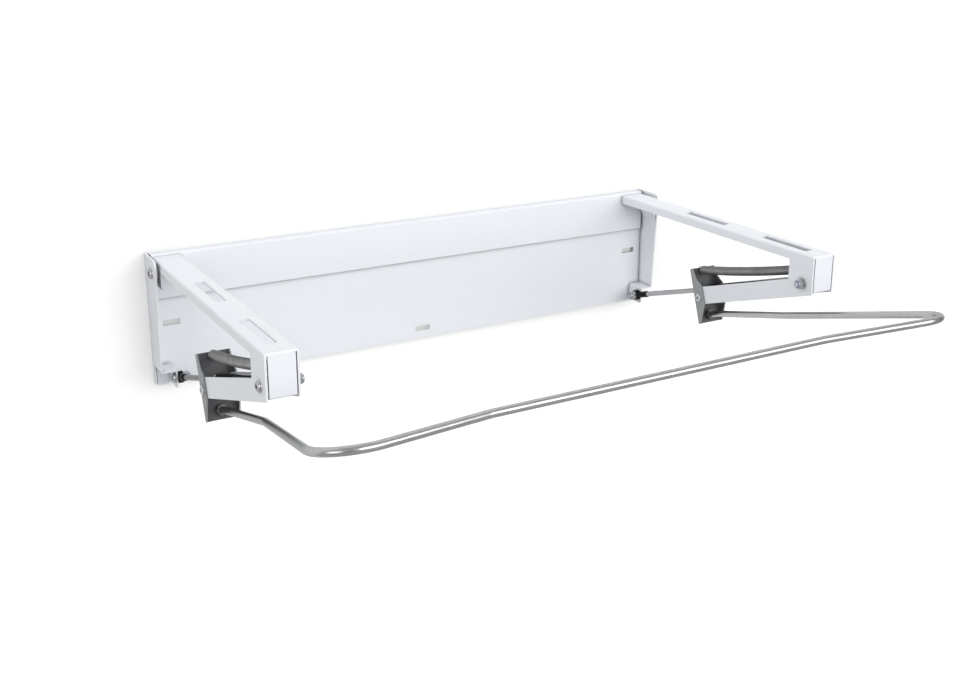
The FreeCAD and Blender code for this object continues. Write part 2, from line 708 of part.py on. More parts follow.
def bracket_rivets():
    """Two hollow rivets that carry the release bracket on the sides of the lower rail."""
    wall = arm_width / 2 - arm_sheet
    seat = arm_width / 2 + lever_side_gap + lever_sheet + lever_side_gap
    tail = seat - wall
    head = rivet_head_height
    hole = rivet_hole / 2
    shank = bolt_diameter / 2
    outer = rivet_head_diameter / 2
    tail_outer = rivet_tail_diameter / 2
    profile = [(-head, hole), (-head, outer * 0.62), (-head * 0.72, outer * 0.86), (-head * 0.3, outer),
               (0, outer), (0, shank), (tail, shank), (tail, tail_outer),
               (tail + rivet_tail_height * 0.6, tail_outer * 0.9),
               (tail + rivet_tail_height, shank), (tail + rivet_tail_height, hole)]
    rivets = []
    for side in (-1, 1):
        base = Vec(arm_x + side * seat, lever_pin.y, lever_pin.z)
        rivets.append(turned(profile, base, Vec(-side, 0, 0)))
    return Part.makeCompound(rivets)


def handle_plane(x, y):
    """Point of the handle above x and y: the bar lies in one plane that rises to the front."""
    start = on_web(-handle_below_rivet, -web_rear + handle_straight)
    rise = (start.y - y) * math.tan(math.radians(handle_slope))
    return Vec(x, y, start.z + rise)


def bent_path(points, radii):
    """Open wire through points, with a bend of its own radius at each inner point."""
    edges = []
    last = points[0]
    for index in range(1, len(points) - 1):
        corner = points[index]
        before = (points[index - 1] - corner)
        after = (points[index + 1] - corner)
        before.normalize()
        after.normalize()
        half_angle = before.getAngle(after) / 2
        setback = radii[index - 1] / math.tan(half_angle)
        middle = before + after
        middle.normalize()
        start = corner + before * setback
        stop = corner + after * setback
        apex = corner + middle * (radii[index - 1] / math.sin(half_angle) - radii[index - 1])
        edges.append(Part.makeLine(last, start))
        edges.append(Part.Arc(start, apex, stop).toShape())
        last = stop
    edges.append(Part.makeLine(last, points[-1]))
    return Part.Wire(edges)


def swept_bar(path, diameter):
    """Round bar along a wire."""
    first = path.Edges[0]
    start = first.valueAt(first.FirstParameter)
    direction = first.tangentAt(first.FirstParameter)
    circle = Part.Wire(Part.makeCircle(diameter / 2, start, direction))
    return path.makePipeShell([circle], True, False)


def handle_bar():
    """One bent bar: threaded ends in the release brackets, flared legs and a front bar with bowed ends."""
    half = [on_web(-handle_below_rivet, -web_rear - handle_tail),
            on_web(-handle_below_rivet, -web_rear + handle_straight),
            handle_plane(arm_x, -arm_reach + handle_flare_behind),
            handle_plane(arm_x + handle_corner_outset, -arm_reach - handle_corner_ahead),
            handle_plane(arm_x - handle_recess_inset, -arm_reach - handle_front_ahead)]
    radii = [60.0, handle_flare_radius, handle_corner_radius, handle_recess_radius]
    other = [Vec(-point.x, point.y, point.z) for point in reversed(half)]
    path = bent_path(half + other, radii + radii[::-1])
    return swept_bar(path, handle_diameter)


def handle_nuts():
    """Hexagon nuts on both faces of the web, round the threaded end of the bar."""
    normal = web_normal()
    nuts = []
    for forward, direction in ((-web_rear + lever_sheet, normal), (-web_rear, normal * -1)):
        seat = on_web(-handle_below_rivet, forward)
        nut = hex_prism(handle_nut_across, handle_nut_height, seat, direction)
        corner = handle_nut_across / math.sqrt(3) + 0.05
        face = handle_nut_across / 2
        envelope = turned([(0, 0), (0, corner), (handle_nut_height - 1, corner),
                           (handle_nut_height, face), (handle_nut_height, 0)], seat, direction)
        bore = Part.makeCylinder(handle_diameter / 2, handle_nut_height + 2, seat - direction, direction)
        nuts.append(nut.common(envelope).cut(bore))
    return Part.makeCompound(nuts)


# Coil springs

def coil_path():
    """Axis of the coil: from the web to the front box, with a slight sag."""
    start = on_web(coil_rear_on_web, -web_rear + lever_sheet + coil_web_gap)
    stop = Vec(arm_x, -arm_reach + coil_front_behind, seat_z - coil_front_below_seat)
    middle = (start + stop) * 0.5
    middle.z -= coil_sag
    return start, stop, Part.Wire(Part.Arc(start, middle, stop).toShape())


def front_hook(coil_end):
    """Closed hook round the anchor pin, with the straight wire that joins it to the coil."""
    away = anchor - coil_end
    away.normalize()
    loop = Part.makeTorus(hook_radius, coil_wire / 2, anchor, Vec(1, 0, 0))
    start = coil_end - away * coil_wire
    reach = (anchor - start).Length - hook_radius + coil_wire * 0.3
    return loop.fuse(Part.makeCylinder(coil_wire / 2, reach, start, away))


def rear_hook():
    """Wire from the end turn through the hole in the web, bent upwards behind it."""
    behind = -web_rear - side_clearance - coil_wire / 2
    points = [on_web(coil_rear_on_web, -web_rear + lever_sheet + coil_web_gap + coil_wire * 0.75),
              on_web(coil_rear_on_web, behind),
              on_web(coil_rear_on_web + rear_hook_rise, behind)]
    return swept_bar(bent_path(points, [rear_hook_bend]), coil_wire)


def coil_spring():
    """Closely wound extension spring: a coil of touching turns, closed by its end turns, and two hooks."""
    start, stop, path = coil_path()
    coil = swept_bar(path, coil_diameter)
    inner = swept_bar(path, coil_diameter - 2 * coil_wire)
    curve = path.Edges[0]
    first = curve.tangentAt(curve.FirstParameter)
    last = curve.tangentAt(curve.LastParameter)
    end_radius = coil_diameter / 2 - 0.4
    shape = coil.cut(inner)
    shape = shape.fuse(Part.makeCylinder(end_radius, coil_wire, start, first))
    shape = shape.fuse(Part.makeCylinder(end_radius, coil_wire, stop - last * coil_wire, last))
    return shape.fuse(front_hook(stop)).fuse(rear_hook()).removeSplitter()


def anchor_pin():
    """Pin across the front box that the front hook of the coil spring is hung on."""
    wall = arm_width / 2 - arm_sheet
    return pin_x(anchor, anchor_pin_diameter, arm_x - wall, arm_x + wall)


save("wall_plate", wall_plate())
save("top_rail", top_rail())
save_pair("side_bracket", side_bracket())
save_pair("arm", arm())
for piece_name, piece in pivot_pieces().items():
    save_pair(piece_name, piece)
for piece_name, piece in box_bolt_pieces().items():
    save_pair(piece_name, piece)
save_pair("gas_spring_tube", gas_spring_tube())
save_pair("gas_spring_front_eye", front_eye())
save_pair("gas_spring_rod_guide", rod_guide())
save_pair("gas_spring_piston", piston())
save_pair("gas_spring_rod", piston_rod())
save_pair("gas_spring_rod_end", rod_end())
for piece_name, piece in rod_end_bolt_pieces().items():
    save_pair(piece_name, piece)
save_pair("release_bracket", release_bracket())
save_pair("release_bracket_rivets", bracket_rivets())
save("handle_bar", handle_bar())
save_pair("handle_nuts", handle_nuts())
save_pair("coil_spring", coil_spring())
save_pair("spring_anchor_pin", anchor_pin())
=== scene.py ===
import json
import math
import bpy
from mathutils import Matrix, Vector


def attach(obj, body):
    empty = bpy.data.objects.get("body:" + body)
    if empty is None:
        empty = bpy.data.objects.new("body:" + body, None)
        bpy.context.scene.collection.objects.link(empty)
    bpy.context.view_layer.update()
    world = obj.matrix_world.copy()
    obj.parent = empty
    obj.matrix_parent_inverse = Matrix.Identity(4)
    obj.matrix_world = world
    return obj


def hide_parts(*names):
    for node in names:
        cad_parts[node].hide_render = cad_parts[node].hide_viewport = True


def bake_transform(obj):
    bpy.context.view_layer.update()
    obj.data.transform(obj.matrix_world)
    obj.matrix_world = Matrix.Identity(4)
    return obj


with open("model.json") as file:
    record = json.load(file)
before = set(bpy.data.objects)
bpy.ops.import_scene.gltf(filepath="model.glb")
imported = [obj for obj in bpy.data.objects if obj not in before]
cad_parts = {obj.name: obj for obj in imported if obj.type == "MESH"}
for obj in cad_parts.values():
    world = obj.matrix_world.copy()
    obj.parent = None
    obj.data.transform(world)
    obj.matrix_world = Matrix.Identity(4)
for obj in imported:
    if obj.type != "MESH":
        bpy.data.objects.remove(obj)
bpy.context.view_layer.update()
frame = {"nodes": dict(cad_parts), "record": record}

# %% [markdown]
# This file dresses one wall bracket for a drop leaf table. The measured parts come in from the frame: folded
# sheets, bolts, gas springs and a bent bar, each already at its real place, in metres. The wall is the plane
# Y = 0, X runs along the wall and Z points up.
#
# The work goes from large to small: camera and wall first, then the finishes, then the folded sheets with
# their broken edges, and last the pieces that need many turns or fine detail, such as the coil springs.

MM = 0.001
SIDES = {"left": -1, "right": 1}
ARM_MIDDLE = 400 * MM


def select_only(piece):
    """Deselects everything, then makes one piece the selected and active one."""
    bpy.ops.object.select_all(action="DESELECT")
    piece.select_set(True)
    bpy.context.view_layer.objects.active = piece


def settle(piece):
    """Puts the piece's place into its mesh, so that its object sits at the origin, unturned and unscaled."""
    select_only(piece)
    bpy.ops.object.transform_apply(location=True, rotation=True, scale=True)


# %% [markdown]
# The camera stands to the left of the bracket and looks down on it by sixteen degrees. Its place was found by
# fitting a plain pinhole camera to points of the arms, the plate and the handle bar. Upright edges stay
# almost upright in the photograph, which a shifted lens gives. The shift here is a part of that, because the
# views from above keep it, and a larger one would cut the bracket off there. A focal length in pixels becomes
# millimetres of lens through the width of the sensor.

# %% Camera
PICTURE_WIDTH = 980
FOCAL_PIXELS = 1220.5
CENTRE_RAISED_PIXELS = 75
VIEW_AZIMUTH = math.radians(29.70)
VIEW_FALL = math.radians(16.19)
CAMERA_PLACE = (-0.8229, -1.6709, 0.5497)
SENSOR_WIDTH = 36

sight = Vector((math.sin(VIEW_AZIMUTH) * math.cos(VIEW_FALL),
                math.cos(VIEW_AZIMUTH) * math.cos(VIEW_FALL),
                -math.sin(VIEW_FALL)))
bpy.ops.object.camera_add(location=CAMERA_PLACE)
camera = bpy.context.object
camera.name = "view_from_the_photograph"
camera.rotation_euler = sight.to_track_quat("-Z", "Y").to_euler()
camera.data.sensor_width = SENSOR_WIDTH
camera.data.lens = FOCAL_PIXELS / PICTURE_WIDTH * SENSOR_WIDTH
camera.data.shift_y = -CENTRE_RAISED_PIXELS / PICTURE_WIDTH
camera.data.dof.use_dof = False
bpy.context.scene.camera = camera
bpy.context.scene.view_settings.view_transform = "Standard"
print("lens", round(camera.data.lens, 1), "mm")

# %% [markdown]
# Paint, light and every finish are built from nodes. A node's socket either holds a value or is linked to
# another node, so one helper takes both, and a second one adds a node and fills its sockets at once. Sums
# and ramps are so common that they have helpers of their own, which give back the socket of the result.

# %% Helpers for nodes


def fill(tree, node, inputs):
    """Gives each named or numbered socket its value, or links it to another node's socket."""
    for key, value in inputs.items():
        if isinstance(value, bpy.types.NodeSocket):
            tree.links.new(value, node.inputs[key])
        else:
            node.inputs[key].default_value = value


def add_node(tree, kind, inputs=None, **settings):
    """Adds a node with its own settings, then fills its sockets."""
    node = tree.nodes.new(kind)
    for key, value in settings.items():
        setattr(node, key, value)
    fill(tree, node, inputs or {})
    return node


def maths(tree, operation, *terms, use_clamp=False):
    """The result of a Math node, whose terms are numbers or sockets."""
    node = add_node(tree, "ShaderNodeMath", dict(enumerate(terms)), operation=operation, use_clamp=use_clamp)
    return node.outputs[0]


def ramp(tree, value, start, stop, low, high, **settings):
    """A value that runs from low to high while the given one runs from start to stop."""
    inputs = {"Value": value, "From Min": start, "From Max": stop, "To Min": low, "To Max": high}
    return add_node(tree, "ShaderNodeMapRange", inputs, **settings).outputs["Result"]


print("the helpers for nodes are ready")

# %% [markdown]
# The bracket hangs on a white wall, high above a pale floor. Both are plain planes. The wall is painted on
# its front only. From behind it is clear, so that the bracket's back can be looked at, and lamps shine
# through it.
# Where the bracket stands close to the wall, the paint darkens to a soft grey rim, which is a painted shadow.
# The last touch of white is added for the eye and for shiny metal, with the Light Path node, so it throws no
# light on the bracket.

# %% Wall, floor and their paint
MIRRORED_GLOW = 0.25
WALL_SIZE = 9
WALL_BEHIND = 0.6 * MM
FLOOR_SIZE = 60
FLOOR_BELOW = 1.5


def stage_paint(name, colour, glow, shadow_rim_width=0.0, shadow_rim_depth=0.0, one_sided=False):
    """A matt paint with white added for the eye, and a soft grey rim of painted shadow next to what stands
    close to it.
    """
    paint = bpy.data.materials.new(name)
    paint.use_nodes = True
    tree = paint.node_tree
    matt = tree.nodes["Principled BSDF"]
    rays = add_node(tree, "ShaderNodeLightPath").outputs
    mirrored = maths(tree, "MAXIMUM", rays["Is Glossy Ray"], rays["Is Transmission Ray"])
    share = maths(tree, "MULTIPLY_ADD", mirrored, MIRRORED_GLOW, rays["Is Camera Ray"])
    white = maths(tree, "MULTIPLY", share, glow)
    fill(tree, matt, {"Roughness": 0.9, "Specular IOR Level": 0.0, "Base Color": (*colour, 1),
                      "Emission Color": (1, 1, 1, 1), "Emission Strength": white})
    # Painted shadow: the Ambient Occlusion node darkens the paint next to what stands close to it.
    if shadow_rim_depth:
        near = add_node(tree, "ShaderNodeAmbientOcclusion", {"Distance": shadow_rim_width}, samples=8)
        shade = ramp(tree, near.outputs["AO"], 0.0, 1.0, 1.0 - shadow_rim_depth, 1.0)
        tone = add_node(tree, "ShaderNodeMix", {"Factor": shade, "A": (0, 0, 0, 1), "B": (*colour, 1)},
                        data_type="RGBA")
        fill(tree, matt, {"Base Color": tone.outputs["Result"]})
    if one_sided:
        seen = maths(tree, "MAXIMUM", rays["Is Camera Ray"], mirrored)
        solid = maths(tree, "MAXIMUM", seen, rays["Is Diffuse Ray"])
        behind = add_node(tree, "ShaderNodeNewGeometry").outputs["Backfacing"]
        front = maths(tree, "SUBTRACT", solid, behind, use_clamp=True)
        clear = add_node(tree, "ShaderNodeBsdfTransparent")
        either = add_node(tree, "ShaderNodeMixShader",
                          {"Fac": front, 1: clear.outputs[0], 2: matt.outputs[0]})
        fill(tree, tree.nodes["Material Output"], {"Surface": either.outputs[0]})
    return paint


def stage_plane(name, size, place, turn, paint):
    """A plain plane of the stage with its paint."""
    bpy.ops.mesh.primitive_plane_add(size=size, location=place, rotation=turn)
    plane = bpy.context.object
    plane.name = name
    plane.data.materials.append(paint)
    settle(plane)
    return plane


wall_paint = stage_paint("white_wall_paint", (0.70, 0.697, 0.69), glow=0.42, shadow_rim_width=0.12,
                         shadow_rim_depth=0.85, one_sided=True)
floor_paint = stage_paint("pale_floor_paint", (0.26, 0.26, 0.257), glow=0.76)
wall = stage_plane("white_wall", WALL_SIZE, (0, WALL_BEHIND, 0), (math.radians(90), 0, 0), wall_paint)
floor = stage_plane("pale_floor", FLOOR_SIZE, (0, 0, -FLOOR_BELOW), (0, 0, 0), floor_paint)
print(wall.name, "and", floor.name, "are in place")

# %% [markdown]
# The light is soft, as in a light tent: a very wide lamp high in front and somewhat to the right, a square
# one far off to the left for the sides that face it, and a pale tent round the front half. A third lamp
# behind the wall lights only the bracket's back. Shiny metal lives from what it mirrors, so for mirrored
# rays the tent is grey, darker at the height of the eye than overhead: that gives polished steel its grey
# flanks beside the white line of the wide lamp.

# %% Lamps and tent
BRACKET_MIDDLE = (0, -0.25, 0)
TENT_FRONT, TENT_BACK = 0.85, 0.0
TENT_EDGE = 0.1
MIRRORED_LOW, MIRRORED_HIGH = 0.26, 0.50
OVERHEAD = 0.6


def wide_lamp(name, place, aim, width, height, watts, colour):
    """A lamp with a flat rectangular face of this width and height, turned towards its aim."""
    bpy.ops.object.light_add(type="AREA", location=place)
    lamp = bpy.context.object
    lamp.name = name
    lamp.data.shape = "RECTANGLE"
    lamp.data.size = width
    lamp.data.size_y = height
    lamp.data.energy = watts
    lamp.data.color = colour
    lamp.rotation_euler = (Vector(aim) - Vector(place)).to_track_quat("-Z", "Y").to_euler()
    return lamp


wide_lamp("front_lamp", (1.6, -5.7, 1.9), BRACKET_MIDDLE, width=7.6, height=4.0, watts=232,
          colour=(1.0, 0.997, 0.993))
wide_lamp("left_lamp", (-11.2, -4.8, 1.6), BRACKET_MIDDLE, width=6.0, height=6.0, watts=235,
          colour=(0.99, 0.995, 1.0))
back_lamp = wide_lamp("back_lamp", (0, 2.6, 0.6), (0, 0, 0), width=2.4, height=2.4, watts=80,
                      colour=(1.0, 1.0, 1.0))
back_lamp.visible_glossy = False

tent = bpy.data.worlds.new("light_tent")
tent.use_nodes = True
tree = tent.node_tree
direction = add_node(tree, "ShaderNodeTexCoord").outputs["Generated"]
axes = add_node(tree, "ShaderNodeSeparateXYZ", {0: direction}).outputs
rays = add_node(tree, "ShaderNodeLightPath").outputs
shining = ramp(tree, axes["Y"], -TENT_EDGE, TENT_EDGE, TENT_FRONT, TENT_BACK,
               interpolation_type="SMOOTHSTEP")
mirrored = ramp(tree, axes["Z"], 0.0, OVERHEAD, MIRRORED_LOW, MIRRORED_HIGH)
unseen = add_node(tree, "ShaderNodeMix", {"Factor": rays["Is Glossy Ray"], "A": shining, "B": mirrored})
strength = add_node(tree, "ShaderNodeMix",
                    {"Factor": rays["Is Camera Ray"], "A": unseen.outputs["Result"], "B": 1.0})
fill(tree, tree.nodes["Background"],
     {"Color": (0.975, 0.985, 1.0, 1), "Strength": strength.outputs["Result"]})
bpy.context.scene.world = tent
print("three lamps and the tent are lit")

# %% [markdown]
# Several finishes share the same small effects, so each set of them is a node group that is built once. One
# is the skin of a sprayed powder, with a faint cloudiness that keeps a large face from being one flat colour.
# The other is the hairlines on drawn or brushed steel. The powder group also darkens tight corners and gaps a
# little with the Ambient Occlusion node, which is painted shade where shade falls. The faces that lie on the
# wall are left out of that, because the wall counts in it and would make the bracket's back dark.
# Each group has named inputs, and each finish sets its own values.

# %% Shared effects as node groups
ON_WALL = -1.5 * MM
CLEAR_OF_WALL = -3 * MM


def finish_group(name, inputs):
    """A node group with these inputs that puts out a colour, a roughness and a height."""
    group = bpy.data.node_groups.new(name, "ShaderNodeTree")
    for socket, value in inputs.items():
        kind = "NodeSocketColor" if isinstance(value, tuple) else "NodeSocketFloat"
        made = group.interface.new_socket(name=socket, in_out="INPUT", socket_type=kind)
        made.default_value = value
    group.interface.new_socket(name="Colour", in_out="OUTPUT", socket_type="NodeSocketColor")
    group.interface.new_socket(name="Roughness", in_out="OUTPUT", socket_type="NodeSocketFloat")
    group.interface.new_socket(name="Height", in_out="OUTPUT", socket_type="NodeSocketFloat")
    given = group.nodes.new("NodeGroupInput").outputs
    end = group.nodes.new("NodeGroupOutput")
    return group, given, end


def powder_skin_group():
    """Orange peel of a sprayed powder: soft bumps, uneven gloss, a faint cloud and painted shade in the
    corners.
    """
    group, given, end = finish_group(
        "powder_skin",
        {"Colour": (0.8, 0.8, 0.8, 1), "Peel size": 900.0, "Cloud size": 7.0, "Cloud depth": 0.03,
         "Gloss": 0.4, "Gloss change": 0.08, "Corner width": 0.006, "Corner shade": 0.0})
    where = add_node(group, "ShaderNodeTexCoord").outputs["Object"]
    axes = add_node(group, "ShaderNodeSeparateXYZ", {0: where}).outputs
    peel = add_node(group, "ShaderNodeTexNoise",
                    {"Vector": where, "Scale": given["Peel size"], "Detail": 2.0, "Roughness": 0.5})
    cloud = add_node(group, "ShaderNodeTexNoise",
                     {"Vector": where, "Scale": given["Cloud size"], "Detail": 4.0, "Roughness": 0.6})
    speck = add_node(group, "ShaderNodeTexNoise", {"Vector": where, "Scale": 2600.0, "Detail": 1.0})
    darkest = maths(group, "SUBTRACT", 1.0, given["Cloud depth"])
    cloudy = ramp(group, cloud.outputs["Fac"], 0.3, 0.7, darkest, 1.0)
    # Painted shade: the colour darkens where corners and gaps close in.
    corner = add_node(group, "ShaderNodeAmbientOcclusion", {"Distance": given["Corner width"]}, samples=4)
    off_wall = ramp(group, axes["Y"], CLEAR_OF_WALL, ON_WALL, 1.0, 0.0)
    corner_shade_depth = maths(group, "MULTIPLY", given["Corner shade"], off_wall)
    painted_corner_shade = ramp(group, corner.outputs["AO"], 0.0, 1.0, maths(group, "SUBTRACT", 1.0, corner_shade_depth), 1.0)
    shade = maths(group, "MULTIPLY", cloudy, painted_corner_shade)
    tone = add_node(group, "ShaderNodeVectorMath", {0: given["Colour"], "Scale": shade}, operation="SCALE")
    gloss = maths(group, "MULTIPLY_ADD", speck.outputs["Fac"], given["Gloss change"], given["Gloss"])
    fill(group, end, {"Colour": tone.outputs["Vector"], "Roughness": gloss, "Height": peel.outputs["Fac"]})
    return group


def hairline_group():
    """Fine lines left by drawing, turning or brushing steel: noise that is stretched along one direction."""
    group, given, end = finish_group(
        "steel_hairlines",
        {"Colour": (0.6, 0.6, 0.6, 1), "Dark colour": (0.45, 0.45, 0.45, 1), "Along X": 1.0,
         "Along Y": 1.0, "Along Z": 1.0, "Gloss": 0.25, "Gloss change": 0.15})
    where = add_node(group, "ShaderNodeTexCoord").outputs["Object"]
    stretch = add_node(group, "ShaderNodeCombineXYZ", {axis: given["Along " + axis] for axis in "XYZ"})
    stretched = add_node(group, "ShaderNodeVectorMath", {0: where, 1: stretch.outputs[0]},
                         operation="MULTIPLY")
    lines = add_node(group, "ShaderNodeTexNoise", {"Vector": stretched.outputs["Vector"], "Scale": 1.0,
                                                   "Detail": 3.0, "Roughness": 0.65})
    patches = add_node(group, "ShaderNodeTexNoise", {"Vector": where, "Scale": 60.0, "Detail": 3.0})
    fine = maths(group, "SUBTRACT", lines.outputs["Fac"], 0.175)
    both = maths(group, "MULTIPLY_ADD", patches.outputs["Fac"], 0.35, fine)
    mask = ramp(group, both, 0.35, 0.65, 0.0, 1.0)
    colour = add_node(group, "ShaderNodeMix",
                      {"Factor": mask, "A": given["Colour"], "B": given["Dark colour"]}, data_type="RGBA")
    gloss = maths(group, "MULTIPLY_ADD", mask, given["Gloss change"], given["Gloss"])
    fill(group, end, {"Colour": colour.outputs["Result"], "Roughness": gloss, "Height": lines.outputs["Fac"]})
    return group


powder_skin = powder_skin_group()
steel_hairlines = hairline_group()
print("groups:", powder_skin.name, steel_hairlines.name)

# %% [markdown]
# A finish puts one of those groups into a material and sends its colour, roughness and height to the
# shader. White powder coat is dull and cool; the release brackets are grey; bolts and nuts are bright zinc;
# the handle bar is brushed and polished steel; the gas springs are black with a hard chromed rod.

# %% Finishes
RELIEF_DEPTH = 0.2 * MM


def finish_with(name, group, values, metal=0.0, bump=0.1, edge=1.0, shine=0.5):
    """A material: one node group feeds colour, roughness and bump of the shader."""
    material = bpy.data.materials.new(name)
    material.use_nodes = True
    tree = material.node_tree
    effect = add_node(tree, "ShaderNodeGroup", node_tree=group)
    fill(tree, effect, values)
    relief = add_node(tree, "ShaderNodeBump",
                      {"Strength": bump, "Distance": RELIEF_DEPTH, "Height": effect.outputs["Height"]})
    fill(tree, tree.nodes["Principled BSDF"],
         {"Base Color": effect.outputs["Colour"], "Roughness": effect.outputs["Roughness"],
          "Normal": relief.outputs["Normal"], "Metallic": metal, "Specular IOR Level": shine,
          "Specular Tint": (edge, edge, edge, 1)})
    return material


# The corner values set the width and depth of the painted shade in corners and gaps.
white_coat = finish_with(
    "white_powder_coat", powder_skin,
    {"Colour": (0.83, 0.85, 0.885, 1), "Peel size": 900.0, "Cloud size": 6.0, "Cloud depth": 0.02,
     "Gloss": 0.40, "Gloss change": 0.08, "Corner width": 0.007, "Corner shade": 0.75}, bump=0.08, shine=0.3)
bracket_grey = finish_with(
    "grey_bracket_steel", powder_skin,
    {"Colour": (0.37, 0.38, 0.385, 1), "Peel size": 1400.0, "Cloud size": 30.0, "Cloud depth": 0.12,
     "Gloss": 0.48, "Gloss change": 0.1, "Corner shade": 0.5}, metal=0.2, bump=0.10, edge=0.7, shine=0.3)
# Painted shade: a darker copy of the grey finish, for the faces inside the fold.
bracket_inside = finish_with(
    "oiled_bracket_inside", powder_skin,
    {"Colour": (0.135, 0.138, 0.142, 1), "Peel size": 1400.0, "Cloud size": 45.0, "Cloud depth": 0.25,
     "Gloss": 0.52, "Gloss change": 0.1, "Corner shade": 0.6}, metal=0.2, bump=0.10, edge=0.7, shine=0.2)
bright_zinc = finish_with(
    "bright_zinc", steel_hairlines,
    {"Colour": (0.62, 0.625, 0.64, 1), "Dark colour": (0.50, 0.505, 0.52, 1), "Along X": 300.0,
     "Along Y": 900.0, "Along Z": 900.0, "Gloss": 0.13, "Gloss change": 0.08}, metal=1.0, bump=0.02, edge=0.6)
handle_steel = finish_with(
    "polished_handle_steel", steel_hairlines,
    {"Colour": (0.60, 0.605, 0.61, 1), "Dark colour": (0.52, 0.525, 0.53, 1), "Along X": 60.0,
     "Along Y": 90.0, "Along Z": 1200.0, "Gloss": 0.21, "Gloss change": 0.06},
    metal=1.0, bump=0.015, edge=0.7)
rod_chrome = finish_with(
    "hard_chromed_rod", steel_hairlines,
    {"Colour": (0.54, 0.545, 0.555, 1), "Dark colour": (0.47, 0.475, 0.485, 1), "Along X": 1500.0,
     "Along Y": 60.0, "Along Z": 1500.0, "Gloss": 0.16, "Gloss change": 0.06},
    metal=1.0, bump=0.01, edge=0.6)
tube_black = finish_with(
    "black_tube_enamel", powder_skin,
    {"Colour": (0.006, 0.006, 0.0065, 1), "Peel size": 700.0, "Cloud size": 40.0, "Cloud depth": 0.2,
     "Gloss": 0.13, "Gloss change": 0.05}, bump=0.01, edge=0.25, shine=0.04)
rod_end_black = finish_with(
    "black_rod_end", powder_skin,
    {"Colour": (0.008, 0.008, 0.0085, 1), "Peel size": 1800.0, "Cloud size": 90.0, "Cloud depth": 0.25,
     "Gloss": 0.36, "Gloss change": 0.15}, bump=0.12, shine=0.1)
spring_wire = finish_with(
    "oiled_spring_wire", steel_hairlines,
    {"Colour": (0.36, 0.36, 0.362, 1), "Dark colour": (0.29, 0.29, 0.292, 1), "Along X": 160.0,
     "Along Y": 60.0, "Along Z": 160.0, "Gloss": 0.30, "Gloss change": 0.08}, metal=0.9, bump=0.02, edge=0.6)
dark_nut_steel = finish_with(
    "dark_nut_steel", steel_hairlines,
    {"Colour": (0.15, 0.153, 0.157, 1), "Dark colour": (0.11, 0.112, 0.115, 1), "Along X": 300.0,
     "Along Y": 900.0, "Along Z": 900.0, "Gloss": 0.36, "Gloss change": 0.12}, metal=0.7, bump=0.03)
rivet_steel = finish_with(
    "dull_rivet_steel", steel_hairlines,
    {"Colour": (0.66, 0.665, 0.67, 1), "Dark colour": (0.62, 0.625, 0.63, 1), "Along X": 300.0,
     "Along Y": 500.0, "Along Z": 500.0, "Gloss": 0.26, "Gloss change": 0.12}, metal=0.9, bump=0.04, edge=0.7)
bush_plastic = finish_with(
    "natural_bush_plastic", powder_skin,
    {"Colour": (0.62, 0.61, 0.57, 1), "Peel size": 1500.0, "Cloud size": 80.0, "Cloud depth": 0.1,
     "Gloss": 0.4, "Gloss change": 0.1}, bump=0.08)
seal_rubber = finish_with(
    "seal_rubber", powder_skin,
    {"Colour": (0.02, 0.02, 0.02, 1), "Peel size": 2500.0, "Cloud size": 120.0, "Cloud depth": 0.3,
     "Gloss": 0.6, "Gloss change": 0.15}, bump=0.2)
locking_ring_plastic = finish_with(
    "locking_ring_plastic", powder_skin,
    {"Colour": (0.16, 0.15, 0.42, 1), "Peel size": 2000.0, "Cloud size": 100.0, "Cloud depth": 0.15,
     "Gloss": 0.35, "Gloss change": 0.1}, bump=0.08)

finish_of = {
    "white_powder_coat": white_coat, "release_bracket_steel": bracket_grey,
    "bright_fastener_steel": bright_zinc, "polished_handle_steel": handle_steel,
    "gas_spring_black": tube_black, "rod_steel": rod_chrome, "rod_end_black": rod_end_black,
    "bush_plastic": bush_plastic, "seal_rubber": seal_rubber, "spring_steel": spring_wire}
slot_of = {part["node"]: part["material_slot"] for part in frame["record"]["subparts"]}


def paint(piece, material):
    """Gives the whole piece one finish."""
    piece.data.materials.clear()
    piece.data.materials.append(material)


for name, node in frame["nodes"].items():
    for place in node.material_slots:
        place.material = finish_of[slot_of[name]]
print(len(frame["nodes"]), "measured parts have their finish")

# %% [markdown]
# Real sheet metal has no knife edges: the cut edges are broken a little before the powder goes on, and that
# small rounding catches the light as a thin bright rim. The measured sheets have sharp edges, so each one
# is copied, its loose triangles are merged back into faces, and every sharp edge is bevelled by a fraction
# of a millimetre. The copy then stands for the measured part, which stays behind for collision.

# %% Folded sheets with broken edges
SAME_PLACE = 0.01 * MM
FLAT_WITHIN = math.radians(0.5)
SMOOTH_WITHIN = math.radians(32)
SHARP_FROM = math.radians(35)
body_of = {node: body for body, nodes in frame["record"]["behaviour"]["bodies"].items() for node in nodes}


def eased_copy(node, width, finish):
    """A copy of a measured part with merged faces and bevelled edges, which stands for that part."""
    source = frame["nodes"][node]
    piece = bpy.data.objects.new(node + "_eased", source.data.copy())
    bpy.context.collection.objects.link(piece)
    select_only(piece)
    bpy.ops.object.mode_set(mode="EDIT")
    bpy.ops.mesh.select_all(action="SELECT")
    bpy.ops.mesh.remove_doubles(threshold=SAME_PLACE)
    bpy.ops.mesh.dissolve_limited(angle_limit=FLAT_WITHIN)
    bpy.ops.object.mode_set(mode="OBJECT")
    bpy.ops.object.shade_smooth_by_angle(angle=SMOOTH_WITHIN)
    ease = piece.modifiers.new("broken_edges", "BEVEL")
    ease.width = width
    ease.segments = 2
    ease.limit_method = "ANGLE"
    ease.angle_limit = SHARP_FROM
    ease.harden_normals = True
    bpy.ops.object.modifier_apply(modifier=ease.name)
    paint(piece, finish)
    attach(piece, body_of[node])
    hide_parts(node)
    return piece


